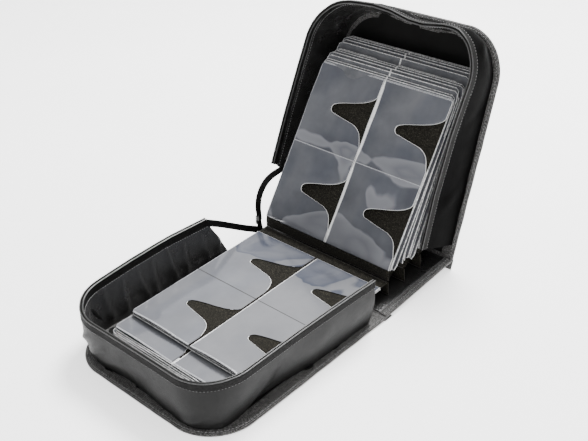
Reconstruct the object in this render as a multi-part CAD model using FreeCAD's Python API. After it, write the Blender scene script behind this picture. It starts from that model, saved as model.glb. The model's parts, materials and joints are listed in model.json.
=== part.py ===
"""Zip-around page binder, open: the lower tray lies flat, the spine lies on the floor behind it, and the
upper tray stands on the spine's far crease. +X runs along the spine, +Y from the lower tray's front edge to
the upper tray, +Z is up. The origin is under the middle of the whole binder, at floor level."""

import FreeCAD, Part
import math
import os

Vector = FreeCAD.Vector
X_AXIS = Vector(1, 0, 0)

# Driving dimensions, millimetres and degrees.
COVER_X = 324.0  # cover width along the spine
COVER_Y = 368.0  # cover depth from the crease to its front edge
CORNER_R = 76.0  # the two front corners
SPINE_W = 182.0  # from one crease line to the other
CREASE_H = 4.0  # crease line above a cover's outer face
COVER_LEAN = 71.0  # upper cover from the floor
SKIN_T = 1.0
BOARD_T = 4.0
SPINE_BOARD_T = 3.0
EDGE_W = 14.0  # bound edge round each cover
EDGE_H = 6.5
FLANGE_L = 15.0  # bound seam that stands out past each crease
FLANGE_T = 2.0
CREASE_GAP = 5.0  # boards stop this far from a crease line
SPINE_GAP = 3.0
WALL_INSET = 5.5  # gusset's outer face inside the cover's edge
WALL_T = 1.2
WALL_LINING_T = 0.8
WALL_TOP = 82.0  # gusset height over the cover's outer face
RIM_TOP = 94.2  # zipper coil's top
COIL = 2.0
TAPE_T = 0.9
NEAR_END = 28.0  # gusset stops this far from the crease
FAR_END_LOW = 30.0  # the far end is cut at a slant
FAR_END_TOP = 72.0

PAGE_X = 265.0
POCKET_Y = 286.0
MARGIN_Y = 20.0  # bare felt between the fold and the pockets
LEAF_T = 1.2
FILM_T = 0.25
LEAF_ROOT = 3.0  # a leaf starts this far from its fold line
PAGE_CORNER_R = 8.0
SLIT_W = 1.4
SLIT_BRIDGE = 6.0  # film left whole at the ends and middle of the slit
NOTCH_DEPTH = 76.0
NOTCH_MOUTH = 56.0
NOTCH_TIP_R = 6.0

STRIP_T = 1.2
SPINE_FACE = 3.5  # spine lining over the crease line

STRIP_FOOT = 0.8  # room for a strip to fold at the lining
STRIP_HEAD = 2.0  # a strip ends this far under its fold line

# Each booklet's fold line: its place along the spine, and its height over the line between the creases.
FOLDS = {1: (9.0, 12.0), 2: (44.7, 30.0), 3: (88.0, 30.0), 4: (133.0, 33.0)}
LEAF_PITCH = 1.4  # from one leaf to the next at the fold
FOLD_GAP = 0.2  # each half of booklet 2 stops this far from its fold line
# Leaf angles from the floor: 180 lies towards the front, 60 leans in the upper tray.
LOW_ANGLE = 181.2
FRONT_ANGLE = 58.5
FAN_STEP = 0.3

# Zipper hardware: sizes are along Y, along X, along Z.
SLIDER = Vector(9.0, 5.0, 11.0)
SLIDER_R = 1.6
SLIDER_AT = 51.0  # along the spine
SLIDER_PLAY = 2.0  # from the slider to the upper tape's tail
GROOVE_W = 2.4
DIAMOND_W = 1.6
DIAMOND_H = 2.0
BRIDGE = Vector(2.4, 1.6, 6.0)
PULL = Vector(6.0, 1.4, 18.0)
PULL_R = 2.4
PULL_GAP = 0.3
PULL_HANG = 8.0  # the tab's top over the slider's foot
JOINED_T = 1.8
JOINED_W = 14.0
JOINED_FOOT = 5.3  # over the crease line
JOINED_TOP = 30.0
# Tails of the tape, as (y, z) points on the far side: root in the tray's frame, sag in the common frame.
TAIL_ROOT = [(76.0, 88.0), (66.0, 85.0)]
TAIL_GAP = 0.3
LOWER_TAIL_W = 13.0
LOWER_TAIL_SAG = [(-15.0, 54.0), (20.0, 33.0)]
LOWER_TAIL_END = 18.0
UPPER_TAIL_W = 9.0
UPPER_TAIL_SAG = [(80.0, 112.0), (58.0, 102.0), (49.0, 84.0)]

# Worked out from the above.
HALF_X = COVER_X / 2
LEAN = math.radians(COVER_LEAN)
CREASE_Z = FLANGE_L * math.sin(LEAN) + CREASE_H * math.cos(LEAN)
SPINE_TILT = math.degrees(math.asin((CREASE_Z - CREASE_H) / SPINE_W))
CREASE_Y = SPINE_W * math.cos(math.radians(SPINE_TILT))
BACK_Y = CREASE_Y + COVER_Y * math.cos(LEAN) + CREASE_H * math.sin(LEAN)
SHIFT_Y = (COVER_Y - BACK_Y) / 2
PANEL_T = 2 * SKIN_T + BOARD_T


def save(name, *solids):
    """Write one node."""
    shape = solids[0] if len(solids) == 1 else Part.makeCompound(list(solids))
    shape = shape.copy()
    shape.translate(Vector(0, SHIFT_Y, 0))
    shape.exportStep("parts/" + name + ".step")


def box(x0, x1, y0, y1, z0, z1):
    return Part.makeBox(x1 - x0, y1 - y0, z1 - z0, Vector(x0, y0, z0))


def cover_face(inset, start):
    """The cover's plan, in from its edge: straight at the crease, round at the two front corners."""
    side = HALF_X - inset
    front = COVER_Y - inset
    radius = CORNER_R - inset
    bend = radius * math.sin(math.radians(45))
    turn_x = side - radius
    turn_y = front - radius
    near = [Vector(side, start, 0), Vector(side, turn_y, 0)]
    near_mid = Vector(turn_x + bend, turn_y + bend, 0)
    top = [Vector(turn_x, front, 0), Vector(-turn_x, front, 0)]
    far_mid = Vector(-turn_x - bend, turn_y + bend, 0)
    far = [Vector(-side, turn_y, 0), Vector(-side, start, 0)]
    edges = [
        Part.LineSegment(near[0], near[1]).toShape(),
        Part.Arc(near[1], near_mid, top[0]).toShape(),
        Part.LineSegment(top[0], top[1]).toShape(),
        Part.Arc(top[1], far_mid, far[0]).toShape(),
        Part.LineSegment(far[0], far[1]).toShape(),
        Part.LineSegment(far[1], near[0]).toShape(),
    ]
    return Part.Face(Part.Wire(edges))


def plate(inset, start, z0, z1):
    solid = cover_face(inset, start).extrude(Vector(0, 0, z1 - z0))
    solid.translate(Vector(0, 0, z0))
    return solid


def band(inset, width, start, z0, z1):
    """A wall that follows the cover's edge round three sides."""
    inner = plate(inset + width, start - 2 * width - 1, z0 - 1, z1 + 1)
    return plate(inset, start, z0, z1).cut(inner)


def gusset_cut():
    """What the slanted far end takes off the gusset and its tape."""
    low = FAR_END_LOW
    top = FAR_END_TOP
    points = [
        Vector(-HALF_X - 5, 0, 0),
        Vector(-HALF_X - 5, low, 0),
        Vector(-HALF_X - 5, low, EDGE_H),
        Vector(-HALF_X - 5, top, WALL_TOP),
        Vector(-HALF_X - 5, top, RIM_TOP + 5),
        Vector(-HALF_X - 5, 0, RIM_TOP + 5),
    ]
    return Part.Face(Part.makePolygon(points + [points[0]])).extrude(Vector(40, 0, 0))


def tray():
    """One tray in its own frame: crease line at y = 0, z = CREASE_H, cover outwards along +Y, inside up."""
    start = CREASE_GAP
    far_cut = gusset_cut()
    coil_z = RIM_TOP - COIL
    lining_z = SKIN_T + BOARD_T
    wall_mid = WALL_INSET + WALL_T / 2
    pieces = {
        "outer_panel": plate(EDGE_W, start, 0, SKIN_T),
        "stiffener": plate(EDGE_W, start, SKIN_T, lining_z),
        "lining": plate(EDGE_W, start, lining_z, PANEL_T),
        "edge_binding": band(0, EDGE_W, start + 1, 0, EDGE_H),
        "crease_flange": box(-HALF_X, HALF_X, -FLANGE_L, start - 2, 0, FLANGE_T),
        "gusset": band(WALL_INSET, WALL_T, NEAR_END, EDGE_H, WALL_TOP),
        "gusset_lining": band(WALL_INSET + WALL_T, WALL_LINING_T, NEAR_END, EDGE_H, WALL_TOP),
        "zipper_tape": band(wall_mid - TAPE_T / 2, TAPE_T, NEAR_END, WALL_TOP, coil_z),
        "zipper_coil": band(wall_mid - COIL / 2, COIL, NEAR_END, coil_z, RIM_TOP),
    }
    for name in ("gusset", "gusset_lining", "zipper_tape", "zipper_coil"):
        pieces[name] = pieces[name].cut(far_cut)
    return pieces


def place_lower(solid):
    """Mirror a tray piece into the lower tray's place."""
    return solid.mirror(Vector(0, 0, 0), Vector(0, 1, 0))


def place_upper(solid):
    """Turn a tray piece about its crease line, and stand it on the spine's far crease."""
    placed = solid.copy()
    placed.rotate(Vector(0, 0, CREASE_H), X_AXIS, COVER_LEAN)
    placed.translate(Vector(0, CREASE_Y, CREASE_Z - CREASE_H))
    return placed


def spine_point(along, over, x=0.0):
    """A point given along the spine and over its crease lines, in the common frame."""
    tilt = math.radians(SPINE_TILT)
    y = along * math.cos(tilt) - over * math.sin(tilt)
    z = CREASE_H + along * math.sin(tilt) + over * math.cos(tilt)
    return Vector(x, y, z)


def on_spine(solid):
    """Move a piece made with y along the spine and z over its crease lines into place."""
    placed = solid.copy()
    placed.rotate(Vector(0, 0, 0), X_AXIS, SPINE_TILT)
    placed.translate(Vector(0, 0, CREASE_H))
    return placed


def welt(centre):
    """The cord sewn into a crease, so that the boards fold about it."""
    radius = 1.8
    end = centre + Vector(EDGE_W - HALF_X, 0, 0)
    return Part.makeCylinder(radius, COVER_X - 2 * EDGE_W, end, X_AXIS)


def make_spine():
    """Spine panel, its bound ends, its welts and the four binding strips."""
    side = HALF_X - EDGE_W
    first = SPINE_GAP
    last = SPINE_W - SPINE_GAP
    under = SPINE_FACE - 2 * SKIN_T - SPINE_BOARD_T
    layers = {"outer_panel": SKIN_T, "board": SPINE_BOARD_T, "lining": SKIN_T}
    level = under
    for name, thick in layers.items():
        save("spine_" + name, on_spine(box(-side, side, first, last, level, level + thick)))
        level += thick
    edge_top = under + EDGE_H
    edge_first = CREASE_GAP
    edge_last = SPINE_W - CREASE_GAP
    save("spine_binding_near", on_spine(box(side, HALF_X, edge_first, edge_last, under, edge_top)))
    save("spine_binding_far", on_spine(box(-HALF_X, -side, edge_first, edge_last, under, edge_top)))
    save("lower_crease_welt", welt(spine_point(0, 0)))
    save("upper_crease_welt", welt(spine_point(SPINE_W, 0)))
    for number, (along, over) in FOLDS.items():
        foot = SPINE_FACE + STRIP_FOOT
        head = over - STRIP_HEAD
        strip = box(-PAGE_X / 2, PAGE_X / 2, along - STRIP_T / 2, along + STRIP_T / 2, foot, head)
        save("booklet_%d_binding_strip" % number, on_spine(strip))


def page_outline(thickness):
    """A leaf's plan in its own frame, x along the fold and y away from it, with round free corners."""
    length = MARGIN_Y + POCKET_Y
    sheet = box(-PAGE_X / 2, PAGE_X / 2, LEAF_ROOT, length, 0, thickness)
    corners = []
    for edge in sheet.Edges:
        centre = edge.CenterOfMass
        upright = abs(edge.tangentAt(edge.FirstParameter).z) > 0.9
        if upright and centre.y > length - 1:
            corners.append(edge)
    return sheet.makeFillet(PAGE_CORNER_R, corners)


def notch(mouth_x, middle_y):
    """A fin-shaped thumb notch that opens at the pocket's mouth and points away from it."""
    half = NOTCH_MOUTH / 2
    tip_x = mouth_x - NOTCH_DEPTH
    round_x = tip_x + NOTCH_TIP_R
    overrun = mouth_x + 1
    lower = Vector(round_x, middle_y - NOTCH_TIP_R, 0)
    upper = Vector(round_x, middle_y + NOTCH_TIP_R, 0)
    edges = [
        Part.LineSegment(Vector(overrun, middle_y - half, 0), lower).toShape(),
        Part.Arc(lower, Vector(tip_x, middle_y, 0), upper).toShape(),
        Part.LineSegment(upper, Vector(overrun, middle_y + half, 0)).toShape(),
        Part.LineSegment(
            Vector(overrun, middle_y + half, 0), Vector(overrun, middle_y - half, 0)
        ).toShape(),
    ]
    return Part.Face(Part.Wire(edges)).extrude(Vector(0, 0, 4 * FILM_T))


def pocket_film():
    """The clear sheet on one side of a leaf: a slit down its middle and a notch in each of four pockets."""
    sheet = page_outline(FILM_T)
    sheet = sheet.cut(box(-PAGE_X, PAGE_X, -1, MARGIN_Y, -1, 1))
    half = POCKET_Y / 2
    for row in (0, 1):
        first = MARGIN_Y + row * half
        slit = box(0, SLIT_W, first + SLIT_BRIDGE, first + half - SLIT_BRIDGE, -1, 1)
        sheet = sheet.cut(slit)
        for mouth_x in (0.0, PAGE_X / 2):
            cutter = notch(mouth_x, first + half / 2)
            cutter.translate(Vector(0, 0, -FILM_T))
            sheet = sheet.cut(cutter)
    return sheet


def lay_leaf(solid, number, angle, rise):
    """Put a leaf on its booklet's fold line. Its angle is from the floor, its rise towards the reader."""
    placed = solid.copy()
    placed.translate(Vector(0, 0, rise))
    if angle > 90:
        placed = placed.mirror(Vector(0, 0, 0), Vector(0, 1, 0))
        placed.rotate(Vector(0, 0, 0), X_AXIS, angle - 180)
    else:
        placed.rotate(Vector(0, 0, 0), X_AXIS, angle)
    placed.translate(spine_point(*FOLDS[number]))
    return placed


def leaves(number, angle, step, count, rise):
    """A fan of plain leaves on one fold line, the reader's side first."""
    sheet = page_outline(LEAF_T)
    fan = []
    for place in range(count):
        fan.append(lay_leaf(sheet, number, angle + place * step, rise - place * LEAF_PITCH))
    return fan


def open_leaf(name, angle):
    """A leaf of booklet 2 that faces the reader: felt core, and a film on each side."""
    core = page_outline(LEAF_T - 2 * FILM_T)
    film = pocket_film()
    under = -FOLD_GAP - LEAF_T
    save(name + "_felt_core", lay_leaf(core, 2, angle, under + FILM_T))
    back = lay_leaf(film, 2, angle, under)
    front = lay_leaf(film, 2, angle, -FOLD_GAP - FILM_T)
    save(name + "_pocket_films", back, front)


def make_pages():
    """Four booklets. A leaf further from the reader has the smaller angle, so that no two leaves cross."""
    half_stack = 3 * LEAF_PITCH - LEAF_T
    behind = -FOLD_GAP - LEAF_T - LEAF_PITCH
    open_leaf("top_leaf", LOW_ANGLE)
    open_leaf("front_leaf", FRONT_ANGLE)
    save("booklet_1_leaves", *leaves(1, 179.9, 0.1, 6, half_stack))
    save("booklet_2_lower_leaves", *leaves(2, LOW_ANGLE, 0, 2, behind))
    save("booklet_2_upper_leaves", *leaves(2, FRONT_ANGLE - FAN_STEP, -FAN_STEP, 3, behind))
    save("booklet_3_leaves", *leaves(3, 61.8, -FAN_STEP, 6, half_stack))
    save("booklet_4_leaves", *leaves(4, 65.0, -FAN_STEP, 6, half_stack))


def strap(points, width):
    """A flat tape that runs through points of the far side's plane, cut from one strip."""
    x_plane = WALL_INSET + WALL_T / 2 - HALF_X
    left = []
    right = []
    for place, point in enumerate(points):
        before = points[max(place - 1, 0)]
        after = points[min(place + 1, len(points) - 1)]
        run = (after[0] - before[0], after[1] - before[1])
        size = math.hypot(run[0], run[1])
        side = (-run[1] / size * width / 2, run[0] / size * width / 2)
        left.append(Vector(x_plane - TAPE_T / 2, point[0] + side[0], point[1] + side[1]))
        right.append(Vector(x_plane - TAPE_T / 2, point[0] - side[0], point[1] - side[1]))
    outline = left + right[::-1]
    return Part.Face(Part.makePolygon(outline + [outline[0]])).extrude(Vector(TAPE_T, 0, 0))


def far_wall():
    """The room the gusset, tape and coil take up on the far side, which the tails stay out of."""
    return box(-HALF_X - 1, -HALF_X + 20, 0, COVER_Y, 0, RIM_TOP + 5).cut(gusset_cut())


def make_zipper():
    """Free tails of both tapes, the joined end on the spine, the slider and its pull tab."""
    x_plane = WALL_INSET + WALL_T / 2 - HALF_X
    half = JOINED_T / 2
    first = SLIDER_AT - JOINED_W / 2
    last = SLIDER_AT + JOINED_W / 2
    joined = box(x_plane - half, x_plane + half, first, last, JOINED_FOOT, JOINED_TOP)
    save("zipper_joined_end", on_spine(joined))
    beyond = on_spine(box(-HALF_X, 0, first - TAIL_GAP, SPINE_W, -CREASE_H, JOINED_TOP + SLIDER.z))

    meet = spine_point(SLIDER_AT, LOWER_TAIL_END)
    rim = [(-y, z) for y, z in TAIL_ROOT]
    route = rim + LOWER_TAIL_SAG + [(meet.y, meet.z)]
    tail = strap(route, LOWER_TAIL_W).cut(place_lower(far_wall()))
    save("lower_zipper_tail", tail.cut(beyond))
    rim = []
    for y, z in TAIL_ROOT:
        root = place_upper(Part.Vertex(Vector(0, y, z))).Point
        rim.append((root.y, root.z))
    meet = spine_point(SLIDER_AT, JOINED_TOP + SLIDER.z + SLIDER_PLAY)
    route = rim + UPPER_TAIL_SAG + [(meet.y, meet.z)]
    save("upper_zipper_tail", strap(route, UPPER_TAIL_W).cut(place_upper(far_wall())))

    seat = spine_point(SLIDER_AT, JOINED_TOP)
    body = Part.makeBox(SLIDER.y, SLIDER.x, SLIDER.z, Vector(-SLIDER.y / 2, -SLIDER.x / 2, 0))
    body = body.makeFillet(SLIDER_R, [edge for edge in body.Edges if abs(edge.tangentAt(0).x) > 0.9])
    slot = GROOVE_W / 2
    groove = box(-slot, slot, -SLIDER.x, SLIDER.x, -1, SLIDER.z + 1)
    low = (SLIDER.z - DIAMOND_H) / 2
    diamond = box(-slot - 0.1, slot + 0.1, -DIAMOND_W / 2, DIAMOND_W / 2, low, low + DIAMOND_H)
    front = -SLIDER.y / 2
    low = (SLIDER.z - BRIDGE.z) / 2
    bridge = Part.makeBox(BRIDGE.y, BRIDGE.x, BRIDGE.z, Vector(front - BRIDGE.y, -BRIDGE.x / 2, low))
    slider = body.cut(groove).fuse(diamond).fuse(bridge)
    slider.translate(Vector(x_plane, seat.y, seat.z))
    save("zipper_slider", slider)
    tab = Part.makeBox(PULL.y, PULL.x, PULL.z, Vector(-PULL.y / 2, -PULL.x / 2, -PULL.z))
    tab = tab.makeFillet(PULL_R, [edge for edge in tab.Edges if abs(edge.tangentAt(0).x) > 0.9])
    tab_x = x_plane + front - BRIDGE.y - PULL_GAP - PULL.y / 2
    tab.translate(Vector(tab_x, seat.y, seat.z + PULL_HANG))
    save("zipper_pull_tab", tab)


os.makedirs("parts", exist_ok=True)
for piece, solid in tray().items():
    save("lower_" + piece, place_lower(solid))
    save("upper_" + piece, place_upper(solid))
make_spine()
make_pages()
make_zipper()
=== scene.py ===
"""Looks for the open zip-around binder: soft trays, bound edges, felt-cored pages with clear notched pockets,
zipper and stitching. Lengths are millimetres until a mesh is made, which is in metres in the row frame."""

import json
import math

import bpy
import numpy as np
from mathutils import Matrix, Vector, noise


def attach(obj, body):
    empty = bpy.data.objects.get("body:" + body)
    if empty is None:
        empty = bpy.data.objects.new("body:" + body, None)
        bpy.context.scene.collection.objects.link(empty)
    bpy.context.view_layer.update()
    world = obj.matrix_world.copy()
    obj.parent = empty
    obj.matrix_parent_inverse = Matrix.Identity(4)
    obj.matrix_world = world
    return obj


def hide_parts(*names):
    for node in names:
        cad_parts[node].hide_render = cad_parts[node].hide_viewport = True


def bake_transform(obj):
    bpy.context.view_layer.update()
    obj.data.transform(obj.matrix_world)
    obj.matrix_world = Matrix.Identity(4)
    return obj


MM = 0.001
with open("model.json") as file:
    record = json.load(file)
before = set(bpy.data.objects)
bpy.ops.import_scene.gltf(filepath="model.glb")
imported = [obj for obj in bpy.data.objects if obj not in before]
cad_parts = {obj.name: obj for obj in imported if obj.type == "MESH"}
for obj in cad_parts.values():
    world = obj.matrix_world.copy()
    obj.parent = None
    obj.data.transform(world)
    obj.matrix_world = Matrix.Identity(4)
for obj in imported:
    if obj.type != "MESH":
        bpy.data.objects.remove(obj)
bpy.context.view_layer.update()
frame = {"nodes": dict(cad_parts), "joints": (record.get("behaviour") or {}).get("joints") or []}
JOINTS = {joint["name"]: joint for joint in frame["joints"]}


def joint_at(name):
    """(y, z) of a joint's axis, in millimetres."""
    return np.array(JOINTS[name]["pos_m"][1:]) / MM


# Places taken from the frame.
LOW_CREASE = joint_at("spine_fold")
HIGH_CREASE = joint_at("upper_tray_open")
SPINE_RUN = HIGH_CREASE - LOW_CREASE
SPINE_W = float(np.hypot(*SPINE_RUN))
SPINE_TILT = math.atan2(SPINE_RUN[1], SPINE_RUN[0])
FOLD = {
    1: joint_at("booklet_1_turn"),
    2: joint_at("booklet_2_upper_turn"),
    3: joint_at("booklet_3_turn"),
    4: joint_at("booklet_4_turn"),
}

# Covers and walls, millimetres.
COVER_LEAN = math.radians(71)
CREASE_H = 4.0
HALF_X = 162.0
COVER_Y = 368.0
CORNER_R = 76.0
PANEL_T = 6.0
BINDING_W = 14.0
BINDING_T = 6.3
WALL_INSET = 6.0
WALL_NEAR_END = 28.0
WALL_FAR_END = 72.0
PAGE_HALF = 132.5
POCKET = 143.0
MARGIN = 20.0
PAGE_LENGTH = MARGIN + 2 * POCKET
# How much further out each soft cover reaches at its front than its stiff core.
COVER_STRETCH = {"lower": 4.0, "upper": 12.5}


# ---------------------------------------------------------------- frames of the parts


def tray_points(which, x, t, h):
    """Row-frame points in metres: t runs out from the crease, h up from the cover's outer face."""
    x, t, h = np.broadcast_arrays(np.asarray(x, float), t, h)
    t = t + COVER_STRETCH[which] * (np.clip(t, 0, None) / COVER_Y) ** 2
    if which == "lower":
        return np.stack([x, LOW_CREASE[0] - t, h], -1) * MM
    rise = h - CREASE_H
    y = HIGH_CREASE[0] + t * math.cos(COVER_LEAN) - rise * math.sin(COVER_LEAN)
    z = HIGH_CREASE[1] + t * math.sin(COVER_LEAN) + rise * math.cos(COVER_LEAN)
    return np.stack([x, y, z], -1) * MM


def spine_points(x, along, over):
    """Row-frame points in metres: along the spine from the lower crease, and over the line of creases."""
    x, along, over = np.broadcast_arrays(np.asarray(x, float), along, over)
    y = LOW_CREASE[0] + along * math.cos(SPINE_TILT) - over * math.sin(SPINE_TILT)
    z = LOW_CREASE[1] + along * math.sin(SPINE_TILT) + over * math.cos(SPINE_TILT)
    return np.stack([x, y, z], -1) * MM


def edge_path(inset, near_start, far_start, step=3.0):
    """The cover's edge, in by inset: near side, front and far side. Gives places, outward normals and
    lengths."""
    radius = CORNER_R - inset
    side = HALF_X - inset
    front = COVER_Y - inset
    turn_x = side - radius
    turn_t = front - radius
    runs = []

    def straight(a, b, normal):
        count = max(2, int(math.dist(a, b) / step))
        for k in range(count):
            f = k / count
            runs.append((a[0] + (b[0] - a[0]) * f, a[1] + (b[1] - a[1]) * f, *normal))

    def bend(cx, start, end):
        count = max(6, int(radius * abs(end - start) / step))
        for k in range(count):
            angle = start + (end - start) * k / count
            c, s = math.cos(angle), math.sin(angle)
            runs.append((cx + radius * c, turn_t + radius * s, c, s))

    straight((side, near_start), (side, turn_t), (1, 0))
    bend(turn_x, 0, math.pi / 2)
    straight((turn_x, front), (-turn_x, front), (0, 1))
    bend(-turn_x, math.pi / 2, math.pi)
    straight((-side, turn_t), (-side, far_start), (-1, 0))
    runs.append((-side, far_start, -1, 0))
    runs = np.array(runs)
    lengths = np.concatenate([[0], np.cumsum(np.hypot(*np.diff(runs[:, :2], axis=0).T))])
    return runs[:, :2], runs[:, 2:], lengths


# ---------------------------------------------------------------- mesh building


def running_length(points):
    """Length along a line of points, from its first point to each one."""
    return np.concatenate([[0], np.cumsum(np.linalg.norm(np.diff(points, axis=0), axis=1))])


def smooth_noise(points, scale, seed=0.0):
    """Soft noise from -1 to 1 at each point, for points in any unit."""
    flat = np.asarray(points, float).reshape(-1, 3) / scale
    values = [noise.noise(Vector((p[0] + seed, p[1] - seed, p[2] + 2 * seed))) for p in flat]
    return np.array(values).reshape(np.asarray(points).shape[:-1])


def ridges(u, v, folds):
    """Height of a set of straight soft folds on a (u, v) sheet. Each is (u0, v0, u1, v1, half width,
    height)."""
    total = np.zeros(np.broadcast(u, v).shape)
    for u0, v0, u1, v1, width, height in folds:
        du, dv = u1 - u0, v1 - v0
        along = ((u - u0) * du + (v - v0) * dv) / (du * du + dv * dv)
        reach = np.clip(along, 0, 1)
        away = np.hypot(u - u0 - reach * du, v - v0 - reach * dv)
        fade = np.sin(np.pi * np.clip(along, 0.02, 0.98)) ** 0.5
        total += height * fade * np.exp(-((away / width) ** 2))
    return total


def grid_faces(rows, cols, wrap=False, start=0):
    """Quads over a grid of points, row by row. With wrap, the last column joins the first."""
    faces = []
    last = cols if wrap else cols - 1
    for r in range(rows - 1):
        for c in range(last):
            a = start + r * cols + c
            b = start + r * cols + (c + 1) % cols
            faces.append((a, b, b + cols, a + cols))
    return faces


def make_piece(name, points, faces, materials, uv=None, face_material=None, sharp=40):
    """A shown mesh object. uv is one (u, v) per point, in metres, for weave that follows the cloth."""
    mesh = bpy.data.meshes.new(name)
    mesh.from_pydata(np.asarray(points, float).reshape(-1, 3).tolist(), [], faces)
    for material in materials:
        mesh.materials.append(material)
    if face_material is not None:
        mesh.polygons.foreach_set("material_index", np.asarray(face_material, np.int32))
    if uv is not None:
        flat = np.asarray(uv, float).reshape(-1, 2)
        loops = np.empty(len(mesh.loops), np.int32)
        mesh.loops.foreach_get("vertex_index", loops)
        layer = mesh.uv_layers.new(name="cloth")
        layer.data.foreach_set("uv", flat[loops].astype(np.float32).ravel())
    mesh.shade_smooth()
    mesh.set_sharp_from_angle(angle=math.radians(sharp))
    mesh.validate()
    piece = bpy.data.objects.new(name, mesh)
    bpy.context.scene.collection.objects.link(piece)
    return piece


def thicken(piece, thickness, offset=0.0):
    """Gives a cloth its thickness, in millimetres."""
    solid = piece.modifiers.new("thickness", "SOLIDIFY")
    solid.thickness = thickness * MM
    solid.offset = offset
    solid.use_even_offset = False
    return piece


def lay_grid(name, grid, material, thickness=None, uv=None, offset=0.0):
    """A cloth or solid skin over a (rows, cols, 3) grid of points in metres."""
    rows, cols = grid.shape[:2]
    if uv is None:
        u = running_length(grid[:, cols // 2])
        v = running_length(grid[rows // 2])
        uv = np.stack(np.meshgrid(u, v, indexing="ij"), -1)
    piece = make_piece(name, grid, grid_faces(rows, cols), [material], uv)
    if thickness:
        thicken(piece, thickness, offset)
    return piece


def closed_slab(name, top, bottom, materials):
    """A closed solid from a top grid and a bottom grid of the same size."""
    rows, cols = top.shape[:2]
    count = rows * cols
    faces = grid_faces(rows, cols) + [f[::-1] for f in grid_faces(rows, cols, start=count)]
    loop = [c for c in range(cols)] + [r * cols + cols - 1 for r in range(1, rows)]
    loop += [
        (rows - 1) * cols + c for c in range(cols - 2, -1, -1)
    ] + [r * cols for r in range(rows - 2, 0, -1)]
    for a, b in zip(loop, loop[1:] + loop[:1]):
        faces.append((b, a, a + count, b + count))
    points = np.concatenate([top.reshape(-1, 3), bottom.reshape(-1, 3)])
    uv = points[:, [0, 1]] + points[:, [2, 2]] * [0, 1]
    return make_piece(name, points, faces, materials, uv)


def sweep(name, path, frames, profile, material, ends=True):
    """A closed profile carried along a path. frames holds two unit vectors per place, for the profile's
    axes."""
    side, up = frames
    ring = path[:, None] + side[:, None] * profile[None, :, :1] + up[:, None] * profile[None, :, 1:]
    rows, cols = ring.shape[:2]
    faces = grid_faces(rows, cols, wrap=True)
    if ends:
        faces.append(tuple(range(cols - 1, -1, -1)))
        faces.append(tuple((rows - 1) * cols + c for c in range(cols)))
    along = running_length(path)
    round_it = running_length(profile)
    uv = np.stack(np.meshgrid(along, round_it, indexing="ij"), -1)
    return make_piece(name, ring, faces, [material], uv)


def stitches(name, path, normals, length, gap, width, material, slant=0.0):
    """A row of short raised threads along a path of points in metres. normals point out of the cloth."""
    at = running_length(path)
    points, faces = [], []
    place = gap
    turn = 1
    while place + length < at[-1]:
        ends = [np.array([np.interp(q, at, path[:, k]) for k in range(3)]) for q in (place, place + length)]
        up = np.array([np.interp(place, at, normals[:, k]) for k in range(3)])
        run = ends[1] - ends[0]
        side = np.cross(up, run)
        side /= np.linalg.norm(side)
        skew = side * slant * turn
        base = len(points)
        mid = (ends[0] + ends[1]) / 2
        stations = [(ends[0] - skew, 0.15), (mid, 1.0), (ends[1] + skew, 0.15)]
        for centre, size in stations:
            points.extend([centre + side * width * size * 0.5, centre + up * width * 0.55 * size + up * 1e-4])
            points.extend([centre - side * width * size * 0.5, centre - up * width * 0.3])
        faces += grid_faces(3, 4, wrap=True, start=base)
        faces += [(base + 3, base + 2, base + 1, base), (base + 8, base + 9, base + 10, base + 11)]
        place += length + gap
        turn = -turn
    return make_piece(name, points, faces, [material])


# ---------------------------------------------------------------- materials


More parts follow.
